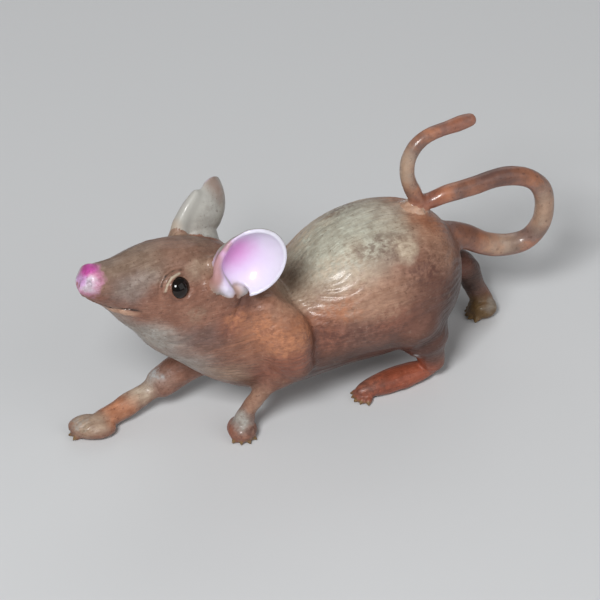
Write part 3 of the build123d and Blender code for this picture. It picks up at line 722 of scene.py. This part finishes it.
def line_group():
    """A thin line of paint between two places, as a mask."""
    tree, given, out = group("paint line", (
        ("Position", "NodeSocketVector", (0.0, 0.0, 0.0)),
        ("Start", "NodeSocketVector", (0.0, 0.0, 0.0)),
        ("End", "NodeSocketVector", (1.0, 0.0, 0.0)),
        ("Half width", "NodeSocketFloat", 0.3),
        ("Strength", "NodeSocketFloat", 1.0),
    ), (("Mask", "NodeSocketFloat"),))
    run = vector_node(tree, "SUBTRACT", given["End"], given["Start"])
    away = vector_node(tree, "SUBTRACT", given["Position"], given["Start"])
    reach = add(tree, "ShaderNodeVectorMath", {0: away, 1: run}, operation="DOT_PRODUCT").outputs["Value"]
    whole = add(tree, "ShaderNodeVectorMath", {0: run, 1: run}, operation="DOT_PRODUCT").outputs["Value"]
    share = add(tree, "ShaderNodeClamp", {"Value": math_node(tree, "DIVIDE", reach, whole)}).outputs[0]
    nearest = add(tree, "ShaderNodeVectorMath", {0: run, "Scale": share}, operation="SCALE").outputs[0]
    gap = add(
        tree, "ShaderNodeVectorMath", {0: vector_node(tree, "SUBTRACT", away, nearest)}, operation="LENGTH",
    ).outputs["Value"]
    inner = math_node(tree, "MULTIPLY", given["Half width"], 0.4)
    outer = math_node(tree, "MULTIPLY", given["Half width"], 1.6)
    tree.links.new(span(tree, gap, inner, outer, given["Strength"], 0.0), out["Mask"])
    return tree


def mottle_group():
    """Blotches and specks of patina, as masks."""
    tree, given, out = group("patina mottle", (
        ("Position", "NodeSocketVector", (0.0, 0.0, 0.0)),
        ("Blotch size", "NodeSocketFloat", 4.0),
        ("Speck size", "NodeSocketFloat", 0.8),
    ), (("Blotches", "NodeSocketFloat"), ("Specks", "NodeSocketFloat"), ("Rubs", "NodeSocketFloat")))
    blotch_scale = math_node(tree, "DIVIDE", 1.0, given["Blotch size"])
    speck_scale = math_node(tree, "DIVIDE", 1.0, given["Speck size"])
    blotch = add(tree, "ShaderNodeTexNoise", {
        "Vector": given["Position"], "Scale": blotch_scale, "Detail": 4.0, "Roughness": 0.62,
    }).outputs["Fac"]
    speck = add(tree, "ShaderNodeTexNoise", {
        "Vector": given["Position"], "Scale": speck_scale, "Detail": 2.0, "Roughness": 0.6,
    }).outputs["Fac"]
    tree.links.new(span(tree, blotch, 0.36, 0.64), out["Blotches"])
    tree.links.new(span(tree, speck, 0.60, 0.72), out["Specks"])
    tree.links.new(span(tree, speck, 0.40, 0.28), out["Rubs"])
    return tree


def fur_group():
    """Fine strokes of combed fur that run along the body, as a value."""
    tree, given, out = group("combed fur", (
        ("Position", "NodeSocketVector", (0.0, 0.0, 0.0)),
        ("Stroke width", "NodeSocketFloat", 0.5),
    ), (("Strokes", "NodeSocketFloat"),))
    drawn = vector_node(tree, "MULTIPLY", given["Position"], (0.11, 1.0, 1.0))
    slant = add(tree, "ShaderNodeVectorRotate", {
        "Vector": drawn, "Angle": 0.05,
    }, rotation_type="Y_AXIS").outputs["Vector"]
    scale = math_node(tree, "DIVIDE", 1.0, given["Stroke width"])
    strokes = add(tree, "ShaderNodeTexNoise", {
        "Vector": slant, "Scale": scale, "Detail": 1.5, "Roughness": 0.5,
    }).outputs["Fac"]
    tree.links.new(span(tree, strokes, 0.3, 0.7, smooth=False), out["Strokes"])
    return tree


GROUPS = {}


def shared_group(name, maker):
    """A node group that is built once and used by every material."""
    if name not in GROUPS:
        GROUPS[name] = maker()
    return GROUPS[name]


def use_group(tree, name, maker, inputs):
    """A shared node group placed in a material."""
    placed = tree.nodes.new("ShaderNodeGroup")
    placed.node_tree = shared_group(name, maker)
    for label, value in inputs.items():
        if isinstance(value, bpy.types.NodeSocket):
            tree.links.new(value, placed.inputs[label])
        else:
            placed.inputs[label].default_value = value
    return placed.outputs


def new_material(name):
    """A material with its tree, its shader and the position on the mouse in millimetres."""
    material = bpy.data.materials.new(name)
    material.use_nodes = True
    tree = material.node_tree
    shader = tree.nodes["Principled BSDF"]
    place = add(tree, "ShaderNodeTexCoord").outputs["Object"]
    place = add(
        tree, "ShaderNodeVectorMath", {0: place, "Scale": 1.0 / MILLIMETRE}, operation="SCALE",
    ).outputs[0]
    return material, tree, shader, place


def wandering(tree, place, reach, grain):
    """The position as (along, out, up), shaken a little so that brushed edges wander."""
    shake = add(tree, "ShaderNodeTexNoise", {
        "Vector": place, "Scale": 1.0 / grain, "Detail": 3.0, "Roughness": 0.6,
    }).outputs["Color"]
    shake = vector_node(tree, "SUBTRACT", shake, (0.5, 0.5, 0.5))
    shake = add(tree, "ShaderNodeVectorMath", {0: shake, "Scale": reach}, operation="SCALE").outputs[0]
    level = vector_node(tree, "SUBTRACT", place, (0.0, MIDLINE, 0.0))
    parts = add(tree, "ShaderNodeSeparateXYZ", {0: level}).outputs
    out = math_node(tree, "ABSOLUTE", parts["Y"])
    folded = add(tree, "ShaderNodeCombineXYZ", {"X": parts["X"], "Y": out, "Z": parts["Z"]}).outputs[0]
    return vector_node(tree, "ADD", folded, shake)


def brushed(tree, place, colour, patches, paint, grain=1.0):
    """Colour with patches of paint, painted shade and painted highlights brushed on in turn, broken up by the
    grain of a dry brush.
    """
    for name, strength, centre, reach, softness in patches:
        mask = use_group(tree, "paint patch", patch_group, {
            "Position": place, "Centre": centre, "Reach": reach, "Softness": softness, "Strength": strength,
        })["Mask"]
        mask = math_node(tree, "MULTIPLY", mask, grain)
        colour = mixed(tree, mask, colour, (*getattr(paint, name), 1.0))
    return colour


def lined(tree, place, colour, lines, paint):
    """Colour with thin lines of paint drawn on."""
    for name, strength, half_width, path in lines:
        for start, end in zip(path[:-1], path[1:]):
            mask = use_group(tree, "paint line", line_group, {
                "Position": place, "Start": start, "End": end, "Half width": half_width, "Strength": strength,
            })["Mask"]
            colour = mixed(tree, mask, colour, (*getattr(paint, name), 1.0))
    return colour


def nail_patches():
    """Paint on the claws of the four feet."""
    rows = []
    for (along, out), bearing, reach, fan in FEET:
        for turn in fan:
            way = math.radians(bearing + turn)
            centre = (along + reach * math.cos(way), abs(out + reach * math.sin(way) - MIDLINE), 0.8)
            rows.append(("gold", 0.9, centre, (0.9, 0.9, 0.8), 0.5))
    return tuple(rows)


def mottled(tree, place, colour, dark, pale, blotch_size, speck_size):
    """Colour broken up by blotches, dark specks and pale rubs."""
    masks = use_group(tree, "patina mottle", mottle_group, {
        "Position": place, "Blotch size": blotch_size, "Speck size": speck_size,
    })
    colour = mixed(tree, math_node(tree, "MULTIPLY", masks["Blotches"], 0.42), colour, dark, "MULTIPLY")
    colour = mixed(tree, math_node(tree, "MULTIPLY", masks["Specks"], 0.55), colour, dark, "MULTIPLY")
    return mixed(tree, math_node(tree, "MULTIPLY", masks["Rubs"], 0.10), colour, pale)


def lacquered(shader, roughness, coat):
    """The clear lacquer over the paint."""
    shader.inputs["Roughness"].default_value = roughness
    shader.inputs["Specular IOR Level"].default_value = 0.35
    shader.inputs["Coat Weight"].default_value = coat
    shader.inputs["Coat Roughness"].default_value = 0.12


def fur_material(paint):
    """Hand-brushed fur paint under clear lacquer, with painted shade low on the body and painted highlights
    on the snout, the back and the legs.
    """
    material, tree, shader, place = new_material("painted fur")
    colour = brushed(tree, wandering(tree, place, 4.5, 4.5), (*paint.brown, 1.0), FUR_PAINT_SHADE_AND_HIGHLIGHTS, paint)
    colour = mottled(tree, place, colour, (0.42, 0.33, 0.29, 1.0), (*paint.cream, 1.0), 3.2, 0.9)
    masks = use_group(tree, "patina mottle", mottle_group, {
        "Position": place, "Blotch size": 1.5, "Speck size": 0.5,
    })
    colour = brushed(tree, wandering(tree, place, 6.0, 2.2), colour, DRY_PAINT_AND_HIGHLIGHTS, paint, masks["Blotches"])
    fine = math_node(tree, "MULTIPLY", masks["Blotches"], 0.30)
    colour = mixed(tree, fine, colour, (0.62, 0.50, 0.44, 1.0), "MULTIPLY")
    level = wandering(tree, place, 0.3, 1.0)
    colour = lined(tree, level, colour, LINES, paint)
    colour = brushed(tree, level, colour, nail_patches(), paint)
    strokes = use_group(tree, "combed fur", fur_group, {"Position": place, "Stroke width": 0.55})["Strokes"]
    shade = math_node(tree, "MULTIPLY", strokes, 0.35)
    colour = mixed(tree, shade, colour, (0.55, 0.46, 0.42, 1.0), "MULTIPLY")
    tree.links.new(colour, shader.inputs["Base Color"])
    bump = add(tree, "ShaderNodeBump", {"Height": strokes, "Strength": 0.8, "Distance": 0.00012})
    tree.links.new(bump.outputs["Normal"], shader.inputs["Normal"])
    lacquered(shader, 0.46, 0.22)
    return material


def ear_material(paint, name):
    """An ear: lilac and white inside the cup, the lilac partly painted shade at the cup's upper front,
    bone-coloured paint behind.
    """
    material, tree, shader, place = new_material("painted " + name)
    brushing = wandering(tree, place, 2.0, 4.0)
    back = mottled(tree, place, (*paint.bone, 1.0), (0.42, 0.36, 0.34, 1.0), (*paint.cream, 1.0), 3.0, 0.9)
    cup = brushed(tree, brushing, (*paint.white, 1.0), EAR_CUP_PAINT_AND_SHADE, paint)
    facing = add(tree, "ShaderNodeNewGeometry").outputs["Normal"]
    spread = add(tree, "ShaderNodeSeparateXYZ", {0: facing}).outputs
    side = add(tree, "ShaderNodeSeparateXYZ", {0: place}).outputs["Y"]
    side = math_node(tree, "SIGN", math_node(tree, "SUBTRACT", side, MIDLINE))
    outward = math_node(tree, "MULTIPLY", spread["Y"], side)
    facing = add(tree, "ShaderNodeCombineXYZ", {"X": spread["X"], "Y": outward, "Z": spread["Z"]}).outputs[0]
    looks_out = add(
        tree, "ShaderNodeVectorMath", {0: facing, 1: (-0.43, 0.89, 0.156)}, operation="DOT_PRODUCT",
    ).outputs["Value"]
    inside = span(tree, looks_out, 0.0, 0.35)
    above = use_group(tree, "paint patch", patch_group, {
        "Position": brushing, "Centre": (-26.0, 13.6, 58.0), "Reach": (10.5, 8.5, 11.0),
        "Softness": 0.12, "Strength": 1.0,
    })["Mask"]
    colour = mixed(tree, math_node(tree, "MULTIPLY", inside, above), back, cup)
    colour = brushed(tree, brushing, colour, EAR_EDGE_PATCHES[name], paint)
    tree.links.new(colour, shader.inputs["Base Color"])
    lacquered(shader, 0.42, 0.35)
    return material


def tail_material(paint):
    """Tail: orange and mauve blotches, rust underneath, with dark specks."""
    material, tree, shader, place = new_material("painted tail")
    patches = use_group(tree, "patina mottle", mottle_group, {
        "Position": place, "Blotch size": 7.0, "Speck size": 1.4,
    })
    colour = mixed(tree, patches["Blotches"], (*paint.orange, 1.0), (*paint.mauve, 1.0))
    colour = brushed(tree, wandering(tree, place, 3.0, 2.5), colour, TAIL_PATCHES, paint)
    facing = add(tree, "ShaderNodeNewGeometry").outputs["Normal"]
    up = add(tree, "ShaderNodeSeparateXYZ", {0: facing}).outputs["Z"]
    under = math_node(tree, "MULTIPLY", span(tree, up, 0.0, -0.8), 0.7)
    colour = mixed(tree, under, colour, (*paint.rust, 1.0))
    colour = mottled(tree, place, colour, (0.40, 0.33, 0.30, 1.0), (*paint.salmon, 1.0), 3.6, 1.0)
    tree.links.new(colour, shader.inputs["Base Color"])
    lacquered(shader, 0.40, 0.40)
    return material


def bead_material(paint):
    """Braze bead under mottled pale paint and glossy lacquer."""
    material, tree, shader, place = new_material("painted braze")
    shadow = (0.45, 0.36, 0.30, 1.0)
    colour = mottled(tree, place, (*paint.salmon, 1.0), shadow, (*paint.white, 1.0), 1.6, 0.7)
    tree.links.new(colour, shader.inputs["Base Color"])
    lacquered(shader, 0.22, 0.8)
    return material


def eye_material():
    """Black glass with a trace of brown in its depth."""
    material, tree, shader, place = new_material("black eye glass")
    depth = use_group(tree, "patina mottle", mottle_group, {
        "Position": place, "Blotch size": 2.2, "Speck size": 0.5,
    })["Blotches"]
    colour = mixed(tree, depth, (0.004, 0.003, 0.003, 1.0), (0.012, 0.007, 0.005, 1.0))
    tree.links.new(colour, shader.inputs["Base Color"])
    lacquered(shader, 0.05, 0.0)
    return material


# Operators


class MOUSE_OT_chase(bpy.types.Operator):
    """Work the castings into one chased skin, ready to be parted again"""

    bl_idname = "mouse.chase"
    bl_label = "Chase the castings"

    def execute(self, context):
        SKIN_PARTS[SKIN] = build_skin(context.scene.mouse_chasing)
        return {"FINISHED"}


class MOUSE_OT_fur(bpy.types.Operator):
    """Part the furred castings from the skin and paint them"""

    bl_idname = "mouse.fur"
    bl_label = "Body and legs"

    def execute(self, context):
        material = fur_material(context.scene.mouse_paint)
        for name in FUR_CASTINGS:
            finished(casting_skin(name), name, material)
        return {"FINISHED"}


class MOUSE_OT_ears(bpy.types.Operator):
    """Part the ears from the skin and paint them"""

    bl_idname = "mouse.ears"
    bl_label = "Ears"

    def execute(self, context):
        for name in EAR_CASTINGS:
            finished(casting_skin(name), name, ear_material(context.scene.mouse_paint, name))
        return {"FINISHED"}


class MOUSE_OT_tail(bpy.types.Operator):
    """Part the tail and its bead from the skin and paint them"""

    bl_idname = "mouse.tail"
    bl_label = "Tail and bead"

    def execute(self, context):
        paint = context.scene.mouse_paint
        finished(casting_skin("tail"), "tail", tail_material(paint))
        finished(casting_skin("tail_weld"), "tail_weld", bead_material(paint))
        return {"FINISHED"}


class MOUSE_OT_eyes(bpy.types.Operator):
    """Give the beads in the eye sockets their black glass"""

    bl_idname = "mouse.eyes"
    bl_label = "Eyes"

    def execute(self, context):
        material = eye_material()
        for name in EYES:
            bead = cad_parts[name]
            bead.data.materials.clear()
            bead.data.materials.append(material)
        return {"FINISHED"}


def area_light(name, place, aim, size, power):
    """A soft square light that looks at the mouse."""
    light = bpy.data.lights.new(name, "AREA")
    light.shape = "SQUARE"
    light.size = size
    light.energy = power
    lamp = bpy.data.objects.new(name, light)
    lamp.location = place
    lamp.rotation_euler = (Vector(aim) - Vector(place)).to_track_quat("-Z", "Y").to_euler()
    bpy.context.collection.objects.link(lamp)


def floor_material(colour):
    """Plain matt floor."""
    material = bpy.data.materials.new("pale floor")
    material.use_nodes = True
    shader = material.node_tree.nodes["Principled BSDF"]
    shader.inputs["Base Color"].default_value = (*colour, 1.0)
    shader.inputs["Roughness"].default_value = 0.9
    shader.inputs["Specular IOR Level"].default_value = 0.1
    return material


class MOUSE_OT_stage(bpy.types.Operator):
    """Set the floor, the lights and the camera"""

    bl_idname = "mouse.stage"
    bl_label = "Stage"

    def execute(self, context):
        stage = context.scene.mouse_stage
        aim = Vector(stage.aim)
        back = Vector((
            math.sin(stage.azimuth) * math.cos(stage.elevation),
            -math.cos(stage.azimuth) * math.cos(stage.elevation),
            math.sin(stage.elevation),
        ))
        lens = bpy.data.cameras.new("camera")
        lens.sensor_width = 36.0
        lens.lens = 36.0 * stage.distance / stage.frame_width
        lens.clip_end = 20.0
        camera = bpy.data.objects.new("camera", lens)
        camera.location = aim + back * stage.distance
        camera.rotation_euler = back.to_track_quat("Z", "Y").to_euler()
        context.collection.objects.link(camera)
        context.scene.camera = camera
        mesh = bpy.data.meshes.new("floor")
        corners = ((-1, -1), (1, -1), (1, 1), (-1, 1))
        mesh.from_pydata([(FLOOR_REACH * x, FLOOR_REACH * y, 0.0) for x, y in corners], [], [(0, 1, 2, 3)])
        mesh.materials.append(floor_material(stage.floor_colour))
        floor = bpy.data.objects.new("floor", mesh)
        context.collection.objects.link(floor)
        for name, place, size, power in LIGHTS:
            area_light(name, aim + Vector(place), aim, size, power)
        world = bpy.data.worlds.new("studio")
        world.use_nodes = True
        world.node_tree.nodes["Background"].inputs["Color"].default_value = (1.0, 1.0, 1.0, 1.0)
        world.node_tree.nodes["Background"].inputs["Strength"].default_value = 0.16
        context.scene.world = world
        context.scene.view_settings.view_transform = "Standard"
        return {"FINISHED"}


class MOUSE_PT_panel(bpy.types.Panel):
    """The mouse's makers, in the order they work"""

    bl_idname = "MOUSE_PT_panel"
    bl_label = "Painted cast mouse"
    bl_space_type = "VIEW_3D"
    bl_region_type = "UI"
    bl_category = "Mouse"

    def draw(self, context):
        for step in STEPS:
            self.layout.operator(step.bl_idname)
        for settings in (context.scene.mouse_chasing, context.scene.mouse_paint, context.scene.mouse_stage):
            box = self.layout.box()
            for name in settings.__annotations__:
                box.prop(settings, name)


STEPS = (MOUSE_OT_chase, MOUSE_OT_fur, MOUSE_OT_ears, MOUSE_OT_tail, MOUSE_OT_eyes, MOUSE_OT_stage)
CLASSES = (MouseChasing, MousePaint, MouseStage) + STEPS + (MOUSE_PT_panel,)


def register():
    """Registers the classes and puts the settings on the scene."""
    for item in CLASSES:
        bpy.utils.register_class(item)
    bpy.types.Scene.mouse_chasing = PointerProperty(type=MouseChasing)
    bpy.types.Scene.mouse_paint = PointerProperty(type=MousePaint)
    bpy.types.Scene.mouse_stage = PointerProperty(type=MouseStage)


def unregister():
    """Takes the settings and the classes away again."""
    del bpy.types.Scene.mouse_chasing
    del bpy.types.Scene.mouse_paint
    del bpy.types.Scene.mouse_stage
    for item in reversed(CLASSES):
        bpy.utils.unregister_class(item)


def main():
    """Makes the mouse and its stage."""
    register()
    bpy.ops.mouse.chase()
    bpy.ops.mouse.fur()
    bpy.ops.mouse.ears()
    bpy.ops.mouse.tail()
    bpy.ops.mouse.eyes()
    bpy.ops.mouse.stage()


if __name__ == "__main__":
    main()
